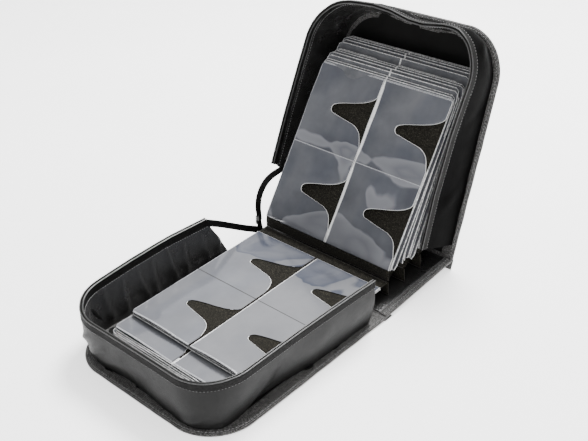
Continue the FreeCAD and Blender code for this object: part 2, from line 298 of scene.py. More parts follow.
class Shader:
    """A procedural material built from a few linked nodes."""

    def __init__(self, name, roughness, sheen=0.0, specular=0.5, coat=0.0, coat_roughness=0.1):
        self.material = bpy.data.materials.new(name)
        self.material.use_nodes = True
        self.nodes = self.material.node_tree.nodes
        self.links = self.material.node_tree.links
        self.shader = self.nodes["Principled BSDF"]
        self.shader.inputs["Roughness"].default_value = roughness
        self.shader.inputs["Specular IOR Level"].default_value = specular
        self.shader.inputs["Sheen Weight"].default_value = sheen
        self.shader.inputs["Sheen Roughness"].default_value = 0.4
        self.shader.inputs["Coat Weight"].default_value = coat
        self.shader.inputs["Coat Roughness"].default_value = coat_roughness
        self.object_space = self.nodes.new("ShaderNodeTexCoord").outputs["Object"]
        self.cloth_space = self.nodes.new("ShaderNodeUVMap")
        self.cloth_space.uv_map = "cloth"
        self.height = None

    def noise(self, scale, detail=3.0, roughness=0.5, stretch=None, distortion=0.0):
        texture = self.nodes.new("ShaderNodeTexNoise")
        texture.inputs["Distortion"].default_value = distortion
        texture.inputs["Scale"].default_value = scale
        texture.inputs["Detail"].default_value = detail
        texture.inputs["Roughness"].default_value = roughness
        space = self.object_space
        if stretch:
            mapping = self.nodes.new("ShaderNodeMapping")
            mapping.inputs["Scale"].default_value = stretch
            self.links.new(space, mapping.inputs["Vector"])
            space = mapping.outputs["Vector"]
        self.links.new(space, texture.inputs["Vector"])
        return texture.outputs["Fac"]

    def ribs(self, pitch, direction, distortion=0.0):
        """Threads or ribs along the cloth's own u or v, one every pitch metres."""
        wave = self.nodes.new("ShaderNodeTexWave")
        wave.bands_direction = direction
        wave.inputs["Scale"].default_value = 1 / pitch / 10 * math.pi
        wave.inputs["Distortion"].default_value = distortion
        self.links.new(self.cloth_space.outputs["UV"], wave.inputs["Vector"])
        return wave.outputs["Fac"]

    def down_the_leaf(self):
        """Distance from the fold along a leaf, in metres."""
        parts = self.nodes.new("ShaderNodeSeparateXYZ")
        self.links.new(self.cloth_space.outputs["UV"], parts.inputs["Vector"])
        return parts.outputs["Y"]

    def ramp(self, value, stops):
        node = self.nodes.new("ShaderNodeValToRGB")
        node.color_ramp.elements.remove(node.color_ramp.elements[1])
        for k, (place, colour) in enumerate(stops):
            element = node.color_ramp.elements[0] if k == 0 else node.color_ramp.elements.new(place)
            element.position = place
            element.color = (*colour, 1)
        self.links.new(value, node.inputs["Fac"])
        return node.outputs["Color"]

    def mix(self, a, b, factor, blend="MIX"):
        node = self.nodes.new("ShaderNodeMix")
        node.data_type = "RGBA"
        node.blend_type = blend
        if isinstance(factor, (int, float)):
            node.inputs["Factor"].default_value = factor
        else:
            self.links.new(factor, node.inputs["Factor"])
        self.links.new(a, node.inputs["A"])
        self.links.new(b, node.inputs["B"])
        return node.outputs["Result"]

    def scaled(self, value, low, high):
        node = self.nodes.new("ShaderNodeMapRange")
        node.inputs["To Min"].default_value = low
        node.inputs["To Max"].default_value = high
        self.links.new(value, node.inputs["Value"])
        return node.outputs["Result"]

    def colour(self, output):
        self.links.new(output, self.shader.inputs["Base Color"])

    def rough(self, output):
        self.links.new(output, self.shader.inputs["Roughness"])

    def bump(self, value, distance, strength=1.0):
        node = self.nodes.new("ShaderNodeBump")
        node.inputs["Distance"].default_value = distance
        node.inputs["Strength"].default_value = strength
        self.links.new(value, node.inputs["Height"])
        if self.height is not None:
            self.links.new(self.height, node.inputs["Normal"])
        self.height = node.outputs["Normal"]
        self.links.new(self.height, self.shader.inputs["Normal"])


def grey(value, warm=0.0):
    """A near-neutral linear colour, warmer where warm is above 0."""
    return (value * (1 + warm), value, value * (1 - warm))


def woven(name, dark, light, roughness, sheen, pitch=0.0007, warm=0.02, crumple=0.0006, specular=0.35):
    """Plain-woven synthetic cloth: fine over-and-under threads, a soft crumple and slow changes of tone."""
    cloth = Shader(name, roughness, sheen, specular)
    weft = cloth.ribs(pitch, "X")
    warp = cloth.ribs(pitch, "Y")
    weave = cloth.mix(weft, warp, 0.5, "DIFFERENCE")
    tone = cloth.noise(9, 4, 0.6)
    base = cloth.ramp(tone, [(0.3, grey(dark, warm)), (0.7, grey(light, warm / 2))])
    threads = cloth.ramp(weave, [(0.0, grey(0.72)), (0.8, grey(1.0))])
    cloth.colour(cloth.mix(base, threads, 0.55, "MULTIPLY"))
    cloth.rough(cloth.scaled(cloth.noise(40, 3), roughness - 0.08, roughness + 0.1))
    cloth.bump(cloth.noise(55, 4, 0.55), crumple, 0.6)
    cloth.bump(weave, 0.00012, 0.6)
    return cloth.material


def tape(name, dark, light, pitch=0.0016, sheen=0.25, specular=0.3):
    """Ribbed binding tape with a salt-and-pepper look."""
    band = Shader(name, 0.72, sheen, specular=specular)
    rib = band.ribs(pitch, "X", 0.6)
    cross = band.ribs(pitch * 1.4, "Y", 1.2)
    speck = band.noise(430, 2, 0.7)
    mixed = band.mix(band.mix(rib, cross, 0.5), speck, 0.6)
    band.colour(band.ramp(
        mixed, [(0.42, grey(dark, 0.04)), (0.54, grey((dark + light) / 4, 0.03)), (0.62, grey(light, 0.02))]
    ))
    band.bump(mixed, 0.0004, 0.8)
    return band.material


def felt_material():
    felt = Shader("felt", 0.95, 0.1, specular=0.1)
    fleck = felt.noise(620, 3, 0.75)
    cloud = felt.noise(60, 3, 0.6)
    base = felt.ramp(
        fleck, [(0.38, (0.004, 0.0037, 0.003)), (0.53, (0.012, 0.011, 0.0085)), (0.68, (0.06, 0.055, 0.042))]
    )
    felt.colour(felt.mix(base, felt.ramp(cloud, [(0.3, grey(0.75)), (0.7, grey(1.0))]), 0.5, "MULTIPLY"))
    felt.bump(fleck, 0.0006, 0.9)
    return felt.material


def film_material(name, dark, light, patch, roughness, coat, painted_reflection, where, curl=1.0):
    """Hazy clear sheet over felt: a cool grey with slow cloudy patches and a glossy skin.

    The painted reflection tone is laid in wavy patches along the leaf, as where says.
    """
    film = Shader(name, roughness, 0.0, specular=0.6, coat=coat, coat_roughness=0.12)
    cloud = film.noise(11, 4, 0.55)
    streak = film.noise(16, 3, 0.5, stretch=(1.0, 0.35, 0.35))
    base = film.ramp(cloud, [(0.34, dark), (0.62, light)])
    shaded = film.ramp(streak, [(0.38, patch), (0.56, (1, 1, 1))])
    base = film.mix(base, shaded, 0.75, "MULTIPLY")
    share = film.ramp(film.down_the_leaf(), [(place, grey(amount)) for place, amount in where])
    shapes = film.mix(film.noise(8.5, 2.5, 0.45, distortion=curl), share, 0.35)
    # painted reflection: wavy patches where the sheet shows a flat reflection tone instead of its own colour
    reflection_mask = film.ramp(shapes, [(0.60, grey(0)), (0.618, grey(0.9)), (0.70, grey(0.45)), (0.76, grey(0.8))])
    film.colour(film.mix(base, film.ramp(shapes, [(0.5, painted_reflection), (0.9, painted_reflection)]), reflection_mask))
    film.rough(film.scaled(film.noise(24, 3), roughness * 0.6, roughness * 1.6))
    film.bump(film.noise(26, 3, 0.5), 0.0008, 0.25)
    return film.material


def plain_detail(name, dark, light, roughness, scale, distance=0.0001, metallic=0.0, coat=0.0, sheen=0.0):
    """A small part's finish: two close tones, fine grain and uneven gloss."""
    part = Shader(name, roughness, sheen, coat=coat)
    part.shader.inputs["Metallic"].default_value = metallic
    grain = part.noise(scale, 3, 0.6)
    part.colour(part.ramp(grain, [(0.35, dark), (0.65, light)]))
    part.rough(part.scaled(grain, max(0.05, roughness - 0.08), roughness + 0.08))
    part.bump(grain, distance, 0.5)
    return part.material


NYLON = woven("nylon", 0.006, 0.011, 0.4, 0.0, specular=0.13)
LINING = woven("lining", 0.011, 0.019, 0.24, 0.05, pitch=0.0005, crumple=0.0008, specular=0.7)
PANEL_LINING = woven("panel_lining", 0.005, 0.009, 0.6, 0.0, pitch=0.0005, crumple=0.0003, specular=0.1)
BINDING = tape("binding", 0.003, 0.2)
ZIP_TAPE = tape("zip_tape", 0.002, 0.022, 0.0011, 0.0, 0.1)
FELT = felt_material()
# Two copies of one clear film, both with painted reflection patches: the first as it lies under the light,
# the second the same film with a darker base as painted shade
FILM = film_material(
    "film", (0.135, 0.138, 0.15), (0.172, 0.175, 0.187), (0.86, 0.88, 0.93), 0.12, 0.8,
    (0.05, 0.058, 0.085), [(0.02, 1.0), (0.075, 0.95), (0.1, 0.3), (0.13, 0.0)],
)
# painted shade: darker copy of the film for the page that stands up facing away from the key light, with
# lighter painted reflection patches
SHADED_GLOSSY_FILM = film_material(
    "shaded_glossy_film", (0.066, 0.07, 0.084), (0.11, 0.114, 0.127), (0.75, 0.78, 0.86), 0.09, 1.0,
    (0.21, 0.215, 0.235), [
        (0.02, 0.95), (0.05, 0.85), (0.085, 0.5), (0.12, 0.62), (0.15, 0.55), (0.175, 0.85), (0.2, 0.45),
        (0.3, 0.1)
    ],
    curl=0.5,
)
# painted highlight for curled film lips, and painted shadow for the dark gaps beside them
FILM_EDGE_HIGHLIGHT = plain_detail("film_edge_highlight", grey(0.8), grey(0.98), 0.3, 300)
FILM_SHADE = plain_detail("film_shade", grey(0.006), grey(0.012), 0.5, 300)
WELD = plain_detail("weld", (0.16, 0.164, 0.18), (0.46, 0.465, 0.48), 0.3, 700, 0.0003)
STACK = plain_detail("stack_film", (0.085, 0.088, 0.098), (0.13, 0.134, 0.145), 0.2, 40, coat=0.5)
# painted highlight: light colour for the edges of stacked clear sheets, as edges catching the light
STACK_EDGE_HIGHLIGHT = plain_detail("stack_edge_highlight", grey(0.3), grey(0.95), 0.3, 420)
COIL = plain_detail("zip_coil", grey(0.02), grey(0.06), 0.35, 900, 0.0003)
THREAD = plain_detail("thread", grey(0.16), grey(0.34), 0.6, 1500)
# painted shade: the same nylon as the lower tray, darker and with almost no specular, for the upper tray's
# outside
SHADED_UPPER_NYLON = woven("nylon_upper_shaded", 0.001, 0.0025, 0.5, 0.0, specular=0.01)
ENAMEL = plain_detail("enamel", grey(0.012), grey(0.02), 0.3, 200, 0.00005, coat=0.5)


# ---------------------------------------------------------------- trays

# Each wall's foot comes in from the cover's edge, more where the empty wall slumps. (length along the wall,
# inset).
FOOT_IN = {
    "lower": [
        (0, 9), (60, 9), (130, 11), (190, 20), (235, 23), (285, 14), (310, 5), (350, 4), (420, 9), (480, 15),
        (560, 10), (640, 4), (760, 3), (1000, 4)
    ],
    "upper": [(0, 4), (120, 5), (300, 8), (420, 6), (560, 7), (700, 5), (1000, 4)],
}
# How far the rim leans out (+) or in (-) from straight over the cover's edge.
RIM_OUT = {
    "lower": [
        (0, 3), (60, 0), (160, -3), (290, -4), (330, -1), (430, -2), (520, -2), (600, 1), (631, 4), (680, 7),
        (725, 9),
        (804, 9), (876, 4), (1000, 2),
    ],
    "upper": [
        (0, -8), (90, -9), (183, -5), (240, 1), (291, 7), (320, 9), (343, 8), (365, 3), (407, -3), (434, -2),
        (471, 5),
        (507, 7), (561, 3), (600, 4), (640, 8), (700, 14), (785, 20), (876, 23), (1000, 23),
    ],
}
# The rim's height over the cover.
RIM_UP = {
    "lower": [
        (0, 91), (120, 90), (260, 88), (330, 89), (430, 88), (520, 87), (600, 89), (680, 92), (780, 96),
        (880, 97), (960, 97), (1000, 97)
    ],
    "upper": [
        (0, 91), (150, 92), (300, 94), (400, 90), (470, 91), (600, 92), (700, 95), (785, 99), (876, 104),
        (1000, 105)
    ],
}
# Folds in the cloth of the outer wall: (u0, h0, u1, h1, half width, height), u along the wall.
OUTER_FOLDS = {
    "lower": [
        (560, 62, 625, 8, 5, 2.6), (590, 70, 648, 14, 4, 2.2), (625, 66, 655, 12, 5, -2.4),
        (520, 58, 585, 12, 7, 1.8),
        (648, 40, 668, 6, 4, 2.4), (480, 50, 545, 14, 9, 1.6), (330, 30, 372, 6, 6, 2.2),
        (300, 12, 345, 5, 4, -2.2),
        (180, 60, 235, 22, 14, -2.2), (210, 44, 262, 10, 10, 2.0), (90, 60, 150, 30, 18, 1.2),
        (420, 60, 460, 20, 12, -1.2),
        (700, 70, 730, 10, 8, 1.6), (790, 74, 800, 12, 9, 1.8), (860, 70, 850, 12, 9, -1.6),
        (900, 74, 915, 14, 8, 1.5),
    ],
    "upper": [
        (60, 70, 110, 12, 12, 1.4), (200, 66, 230, 10, 10, -1.4), (300, 70, 340, 14, 9, 1.6),
        (420, 64, 470, 12, 12, -1.6),
        (560, 70, 600, 10, 9, 1.6), (700, 70, 720, 12, 12, 1.2), (820, 66, 850, 10, 10, -1.2),
    ],
}
LINING_FOLDS = {
    "lower": [
        (760, 74, 756, 10, 7, 2.6), (792, 76, 800, 14, 6, 3.0), (826, 74, 822, 12, 7, 2.6),
        (860, 76, 872, 18, 8, 2.2),
        (900, 74, 892, 14, 7, 2.4), (930, 72, 940, 20, 6, 2.0), (728, 72, 740, 14, 6, 2.4),
        (700, 70, 694, 10, 7, 2.4),
        (660, 70, 668, 10, 7, 2.2), (620, 70, 612, 16, 8, 2.0), (560, 70, 566, 20, 9, 1.6),
        (480, 66, 474, 14, 9, 1.4),
        (400, 66, 408, 14, 9, 1.6), (300, 70, 292, 12, 8, 2.0), (200, 70, 206, 20, 9, 1.6),
        (100, 70, 94, 20, 9, 1.4),
    ],
    "upper": [
        (80, 70, 92, 14, 9, 2.0), (180, 40, 330, 34, 8, 1.8), (210, 56, 350, 52, 7, 1.6),
        (360, 36, 480, 46, 10, 2.2),
        (420, 60, 560, 56, 8, 2.0), (560, 40, 640, 30, 8, 1.8), (640, 72, 628, 10, 8, 2.2),
        (680, 72, 690, 12, 7, 2.4),
        (724, 72, 716, 12, 8, 2.4), (768, 72, 776, 12, 7, 2.2), (812, 74, 804, 14, 8, 2.4),
        (856, 72, 862, 12, 8, 2.2),
        (900, 72, 892, 14, 8, 2.0),
    ],
}


def along_wall(table, u):
    places, values = zip(*table)
    return np.interp(u, places, values)


def wall_shape(which, u, share, inside):
    """Offset outwards from the wall's line and height, for lengths u and shares 0..1 of the way up."""
    foot = -along_wall(FOOT_IN[which], u) + 2.0
    top = along_wall(RIM_OUT[which], u)
    ease = np.sin(np.clip(share, 0, 1) * np.pi / 2) ** 0.8
    bulge = 2.6 * np.sin(np.pi * np.clip(share, 0, 1)) ** 2
    out = foot + (top - foot) * ease + bulge
    height = BINDING_T - 0.8 + (along_wall(RIM_UP[which], u) - BINDING_T) * share
    folds = LINING_FOLDS if inside else OUTER_FOLDS
    sign = -1 if inside else 1
    fold_size = 2.0 if inside else 1.4
    out = out + sign * fold_size * ridges(u, height, folds[which]) * np.clip((0.98 - share) * 6, 0, 1) * np.clip(share * 8, 0, 1)
    return out, height


def wall_grid(
    which, low, high, rows, inside=False, shift=0.0, near=WALL_NEAR_END, far=WALL_FAR_END, far_low=30.0
):
    """Grid over part of a wall, from share low to share high of its height. The far end is cut at a slant."""
    places, normals, u = edge_path(WALL_INSET, near, min(far, far_low), 2.5)
    share = np.linspace(low, high, rows)[None, :]
    u_grid = u[:, None] + 0 * share
    end_low = u[-1]
    slant = (far - far_low) * np.clip(share, 0, 0.9) / 0.9 * (0.75 + 0.25 * np.clip(share, 0, 1))
    keep = (end_low - slant) / end_low
    u_cut = u_grid * keep
    x = np.interp(u_cut, u, places[:, 0])
    t = np.interp(u_cut, u, places[:, 1])
    nx = np.interp(u_cut, u, normals[:, 0])
    nt = np.interp(u_cut, u, normals[:, 1])
    size = np.hypot(nx, nt)
    out, height = wall_shape(which, u_cut, share, inside)
    out = out + shift
    wobble = smooth_noise(np.stack([u_cut, height, 0 * height], -1), 34, 3 if which == "lower" else 9) * 0.9
    out = out + wobble * np.clip(1 - share, 0.15, 1)
    grid = tray_points(which, x + nx / size * out, t + nt / size * out, height)
    uv = np.stack([u_cut * MM, height * MM], -1)
    return grid, uv


def rim_line(which, shift, lift, share=1.0):
    """Points and frames along the rim, shift outwards and lift upwards from it."""
    places, normals, u = edge_path(WALL_INSET, WALL_NEAR_END, WALL_FAR_END, 3.0)
    out, height = wall_shape(which, u, share, False)
    x = places[:, 0] + normals[:, 0] * (out + shift)
    t = places[:, 1] + normals[:, 1] * (out + shift)
    path = tray_points(which, x, t, height + lift)
    origin = tray_points(which, 0, 0, 0)
    side = tray_points(which, normals[:, 0], normals[:, 1], 0) - origin
    up = tray_points(which, 0 * u, 0, 1) - origin
    return path, (side / MM, up / MM)


def tube_profile(radius, sides=8, flat=1.0):
    angles = np.arange(sides) * 2 * math.pi / sides
    return np.stack([np.cos(angles), np.sin(angles) * flat], -1) * radius * MM


def binding_line(which, inset, height, near=6.0, far=6.0):
    places, normals, u = edge_path(inset, near, far, 3.0)
    path = tray_points(which, places[:, 0], places[:, 1], height + 0 * u)
    up = tray_points(which, 0 * u, 0, 1) - tray_points(which, 0, 0, 0)
    return path, up / MM, normals


def make_binding(which):
    """The wide ribbed tape that wraps the cover's edge, with its two rows of stitches."""
    places, normals, u = edge_path(BINDING_W / 2, 4.0, 4.0, 3.0)
    half = BINDING_W / 2
    profile = np.array([
        (half, 2.8), (half - 0.5, 4.4), (half - 1.8, 5.6), (half - 4, 6.2), (0, 6.4), (-half + 1, 6.3),
        (-half - 8, 6.1),
        (-half - 8, 5.2), (-half + 1, 0.2), (0, 0.1), (half - 3, 0.2), (half - 1.2, 0.8),
    ])
    wave = smooth_noise(np.stack([places[:, 0], places[:, 1], 0 * u], -1), 30, 5)
    out = profile[None, :, 0] + wave[:, None] * 0.5 * (profile[None, :, 0] > 0)
    height = profile[None, :, 1] + wave[:, None] * 0.25 * (profile[None, :, 1] > 4)
    x = places[:, :1] + normals[:, :1] * out
    t = places[:, 1:] + normals[:, 1:] * out
    ring = tray_points(which, x, t, height)
    rows, cols = ring.shape[:2]
    faces = grid_faces(rows, cols, wrap=True)
    faces += [tuple(range(cols - 1, -1, -1)), tuple((rows - 1) * cols + c for c in range(cols))]
    across = np.concatenate([[0], np.cumsum(np.hypot(*np.diff(profile, axis=0).T))])
    uv = np.stack(np.meshgrid(u * MM, across * MM, indexing="ij"), -1)
    band = make_piece(which + "_edge_tape", ring, faces, [BINDING], uv, sharp=60)
    pieces = [band]
    for tag, inset, height, sense in (("top", 4.4, 6.15, 1), ("under", 4.6, 0.12, -1)):
        path, up, _ = binding_line(which, inset, height)
        pieces.append(stitches(
            which + "_edge_stitches_" + tag, path, up * sense, 0.0034, 0.0018, 0.0011, THREAD, 0.0007
        ))
    return pieces


def cover_grid(inset, start, rows=46, cols=34):
    """Places over a cover's plan: straight at the crease, round at the two front corners."""
    radius = CORNER_R - inset
    front = COVER_Y - inset
    side = HALF_X - inset
    turn = front - radius
    flat_rows = int(rows * 0.55)
    t = np.concatenate([
        np.linspace(start, turn, flat_rows),
        turn + radius * np.sin(np.linspace(0, math.pi / 2, rows - flat_rows + 1)[1:])
    ])
    half = np.where(t > turn, side - radius + np.sqrt(np.clip(radius**2 - (t - turn) ** 2, 0, None)), side)
    spread = np.sin(np.linspace(-math.pi / 2, math.pi / 2, cols) * 0.92) / math.sin(math.pi / 2 * 0.92)
    return half[:, None] * spread[None, :], t[:, None] + 0 * spread[None, :]


def make_cover(which):
    """The padded outside of a cover, and the lining on its inside."""
    x, t = cover_grid(BINDING_W - 3, 3.0, 60, 48)
    edge = np.minimum(HALF_X - BINDING_W - np.abs(x), COVER_Y - BINDING_W - t)
    crown = 1.0 - np.exp(-np.clip(edge, 0, None) / 14)
    slack = smooth_noise(
        np.stack([x, t, 0 * x], -1), 70, 2
    ) * 0.9 + smooth_noise(np.stack([x, t, 0 * x], -1), 26, 7) * 0.25
    seat = 1.0 if which == "lower" else 0.0
    outer_h = 0.9 - 0.8 * crown * (1 - 0.6 * seat) + np.clip(slack, -0.6, 0.7) * 0.4 * (1 - seat)
    # the upper cover's outside takes the darker nylon copy, painted shade
    outside = closed_slab(
        which + "_cover_outside", tray_points(which, x, t, 4.6 + 0 * x), tray_points(which, x, t, outer_h),
        [SHADED_UPPER_NYLON if which == "upper" else NYLON]
    )
    x, t = cover_grid(BINDING_W - 2, 4.0, 50, 40)
    slack = smooth_noise(
        np.stack([x, t, 0 * x], -1), 60, 12
    ) + 0.5 * smooth_noise(np.stack([x, t, 0 * x], -1), 24, 4)
    inner_h = PANEL_T - 0.3 + 0.55 * slack
    inside = lay_grid(which + "_cover_lining", tray_points(which, x, t, inner_h), PANEL_LINING, 0.8)
    return outside, inside


def make_tray(which):
    body = which + "_tray"
    outside, inside = make_cover(which)
    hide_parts(which + "_outer_panel", which + "_stiffener")
    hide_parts(which + "_lining")
    binding = make_binding(which)
    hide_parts(which + "_edge_binding")

    grid, uv = wall_grid(which, 0.0, 0.9, 26)
    # the upper wall's outside takes the darker nylon copy, painted shade
    wall = lay_grid(
        which + "_wall_outside", grid, SHADED_UPPER_NYLON if which == "upper" else NYLON, 1.0, uv=uv, offset=-1.0
    )
    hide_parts(which + "_gusset")
    grid, uv = wall_grid(which, 0.0, 0.9, 26, inside=True, shift=-3.4)
    lining = lay_grid(which + "_wall_lining", grid, LINING, 0.6, uv=uv, offset=1.0)
    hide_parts(which + "_gusset_lining")
    grid, uv = wall_grid(which, 0.86, 1.0, 5, shift=0.9)
    zip_tape = lay_grid(which + "_rim_tape", grid, ZIP_TAPE, 1.0, uv=uv)
    grid, uv = wall_grid(which, 0.84, 0.99, 5, shift=-3.6)
    inner_tape = lay_grid(which + "_rim_tape_inside", grid, ZIP_TAPE, 0.8, uv=uv)
    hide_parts(which + "_zipper_tape")
    path, frames = rim_line(which, 1.0, 0.4)
    lip = sweep(which + "_rim_lip", path, frames, tube_profile(0.9), COIL)
    path, frames = rim_line(which, -3.4, -0.4)
    coil = sweep(which + "_coil", path, frames, tube_profile(1.0), COIL)
    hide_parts(which + "_zipper_coil")
    path, frames = rim_line(which, -1.2, -1.2)
    groove = sweep(which + "_rim_groove", path, frames, tube_profile(2.0, flat=0.5), ZIP_TAPE)
    path, frames = rim_line(which, 1.6, 0.0, 0.86)
    seam = stitches(which + "_rim_stitches", path, frames[0], 0.0026, 0.0022, 0.0008, THREAD)
    path, frames = rim_line(which, -4.6, 0.0, 0.84)
    inner_seam = stitches(which + "_rim_stitches_inside", path, -frames[0], 0.0026, 0.002, 0.0009, THREAD)
    for piece in (
        outside, inside, *binding, wall, lining, zip_tape, inner_tape, lip, coil, groove, seam, inner_seam
    ):
        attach(piece, body)
    return wall, lining


# ---------------------------------------------------------------- spine


def make_spine():
    """Outer cloth, lining and bound ends of the spine."""
    cols, rows = 48, 40
    x = np.linspace(-HALF_X + BINDING_W - 2, HALF_X - BINDING_W + 2, cols)[None, :]
    along = np.linspace(2, SPINE_W - 2, rows)[:, None]
    slack = smooth_noise(np.stack(np.broadcast_arrays(x, along, 0 * x), -1), 45, 21)
    outside = closed_slab(
        "spine_outside", spine_points(x, along, 2.4 + 0 * slack), spine_points(x, along, -1.4 + 0.15 * slack),
        [NYLON]
    )
    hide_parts("spine_outer_panel", "spine_board")
    lining = lay_grid("spine_inside", spine_points(x, along, 3.0 + 0.4 * slack), LINING, 0.8)
    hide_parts("spine_lining")
    pieces = [outside, lining]
    for tag, sign in (("near", 1), ("far", -1)):
        pieces += make_spine_edge(tag, sign)
    for piece in pieces:
        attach(piece, "spine")


def make_spine_edge(tag, sign):
    """One end of the spine: ribbed tape with a chain of stitches down its middle."""
    half = BINDING_W / 2
    profile = np.array([
        (half, 1.6), (half - 0.6, 3.2), (half - 2, 4.4), (half - 5, 4.9), (-half, 4.7), (-half - 1, 3.4),
        (-half, -1.2), (half - 3, -1.3),
        (half - 1, -0.6),
    ])
    along = np.linspace(1.0, SPINE_W - 1.0, 60)
    wave = smooth_noise(np.stack([along, 0 * along, 0 * along], -1), 28, 14 + sign)
    x = sign * (HALF_X - half + profile[None, :, 0] + 0.4 * wave[:, None])
    ring = spine_points(x, along[:, None], profile[None, :, 1])
    rows, cols = ring.shape[:2]
    faces = grid_faces(rows, cols, wrap=True)
    faces += [tuple(range(cols - 1, -1, -1)), tuple((rows - 1) * cols + c for c in range(cols))]
    across = np.concatenate([[0], np.cumsum(np.hypot(*np.diff(profile, axis=0).T))])
    uv = np.stack(np.meshgrid(along * MM, across * MM, indexing="ij"), -1)
    band = make_piece("spine_edge_tape_" + tag, ring, faces, [BINDING], uv, sharp=60)
    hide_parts("spine_binding_" + tag)
    path = spine_points(sign * (HALF_X - half + 0.4), along, 4.85)
    up = np.tile((spine_points(0, 0, 1) - spine_points(0, 0, 0)) / MM, (len(along), 1))
    chain = stitches("spine_chain_" + tag, path, up, 0.004, 0.0016, 0.0013, THREAD, 0.0009)
    return [band, chain]


def make_crease(which):
    """Soft cloth that joins a cover to the spine across the crease."""
    body = which + "_tray"
    reach = np.linspace(-1, 1, 17)
    x = np.linspace(-HALF_X + 0.8, HALF_X - 0.8, 60)
    inner, outer = [], []
    for r in reach:
        over = 3.3 if abs(r) > 0.5 else 2.6 + 1.4 * abs(r)
        if r < 0:
            inner.append(tray_points(which, x, -r * 9, over + CREASE_H - 0.6))
            outer.append(tray_points(which, x, -r * 9, 1.4 + 0 * x))
        else:
            place = r * 9 if which == "lower" else SPINE_W - r * 9
            inner.append(spine_points(x, place, over))
            outer.append(spine_points(x, place, -1.0))
    inner, outer = np.array(inner), np.array(outer)
    middle = len(reach) // 2
    for grid in (inner, outer):
        grid[middle] = (grid[middle - 1] + grid[middle + 1]) / 2
    web = closed_slab(which + "_crease_web", inner, outer, [BINDING])
    welt_x = np.linspace(-HALF_X + 8, HALF_X - 8, 60)
    centre = LOW_CREASE if which == "lower" else HIGH_CREASE
    path = np.stack([welt_x * MM, 0 * welt_x + centre[0] * MM, 0 * welt_x + centre[1] * MM], -1)
    ones = np.ones((len(welt_x), 1))
    welt = sweep(which + "_welt", path, (ones * [0, 1, 0], ones * [0, 0, 1]), tube_profile(1.7, 10), NYLON)
    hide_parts(which + "_crease_welt")
    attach(welt, "spine")
    start = tray_points(which, 0, 8, CREASE_H)
    end = spine_points(0, 8 if which == "lower" else SPINE_W - 8, 0)
    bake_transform(web)
    flange_t = np.linspace(3, -15, 12)
    x2 = np.linspace(-HALF_X, HALF_X, 70)
    lift = smooth_noise(
        np.stack(np.meshgrid(flange_t, x2, indexing="ij") + [np.zeros((12, 70))], -1), 30, 31
    ) * 0.25
    grid = tray_points(which, x2[None, :], flange_t[:, None], 1.0 + lift)
    flange = lay_grid(which + "_flange", grid, BINDING, 1.6)
    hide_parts(which + "_crease_flange")
    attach(flange, body)


# ---------------------------------------------------------------- pages


class LeafShape:
    """How one leaf lies: a line of (y, z) places against distance from the fold, the same all along x but for
    waves."""

    def __init__(self, places, lift=0.0, waves=(), towards=1.0):
        places = np.array(places, float)
        run = np.concatenate([[0], np.cumsum(np.hypot(*np.diff(places, axis=0).T))])
        self.d = np.linspace(0, PAGE_LENGTH + 12, 124)
        # a smooth line through the places, by repeated averaging of the straight runs
        y = np.interp(self.d, run, places[:, 0])
        z = np.interp(self.d, run, places[:, 1])
        last = (places[-1] - places[-2]) / np.linalg.norm(places[-1] - places[-2])
        beyond = self.d > run[-1]
        y[beyond] = places[-1, 0] + (self.d[beyond] - run[-1]) * last[0]
        z[beyond] = places[-1, 1] + (self.d[beyond] - run[-1]) * last[1]
        for _ in range(6):
            y[1:-1] = (y[:-2] + y[2:]) / 2
            z[1:-1] = (z[:-2] + z[2:]) / 2
        self.y, self.z = y, z
        slope = np.stack([np.gradient(y), np.gradient(z)], -1)
        slope /= np.linalg.norm(slope, axis=1)[:, None]
        self.normal = np.stack([-slope[:, 1], slope[:, 0]], -1) * towards
        self.lift, self.waves = lift, waves

    def at(self, x, d, rise=0.0):
        """Row-frame points in metres for page places x, d, with rise towards the reader."""
        x, d, rise = np.broadcast_arrays(np.asarray(x, float), d, rise)
        wave = ridges(x, d, self.waves) if self.waves else 0
        height = self.lift + rise + wave
        y = np.interp(d, self.d, self.y) + np.interp(d, self.d, self.normal[:, 0]) * height
        z = np.interp(d, self.d, self.z) + np.interp(d, self.d, self.normal[:, 1]) * height
        return np.stack([x, y, z], -1) * MM


def notch_limit(t, mouth):
    """Where a pocket's film ends along x, for places t across a pocket: a fin that points away from the
    mouth."""
    near = np.array(
        [(0, 33), (-3.5, 37.5), (-8, 41), (-13, 44), (-20, 47.5), (-34, 52), (-54, 57), (-66, 60.5)], float
    )
    angle = np.linspace(math.radians(70), math.radians(-70), 14)
    tip = np.stack([-70.5 - 8.0 * np.cos(angle), 71.0 - 8.0 * np.sin(angle)], -1)
    far = np.array([
        (-62, 80.5), (-50, 82.8), (-36, 85), (-24, 87.5), (-16, 91.5), (-10, 97), (-6, 104), (-3, 112),
        (0, 120)
    ], float)
    line = np.concatenate([near, tip, far])
    return mouth + np.interp(t, line[:, 1], line[:, 0], left=0.0, right=0.0)


def pocket_rows(flip):
    """Places across a pocket, close together where the notch's edge turns."""
    t = np.concatenate([
        [0, 0.8, 3], np.linspace(7, 28, 6), np.linspace(31, 60.5, 24), np.linspace(61.5, 80.5, 32),
        np.linspace(82, 100, 14),
        np.linspace(104, 136, 9), [140, 142.2],
    ])
    return POCKET - t[::-1] if flip else t


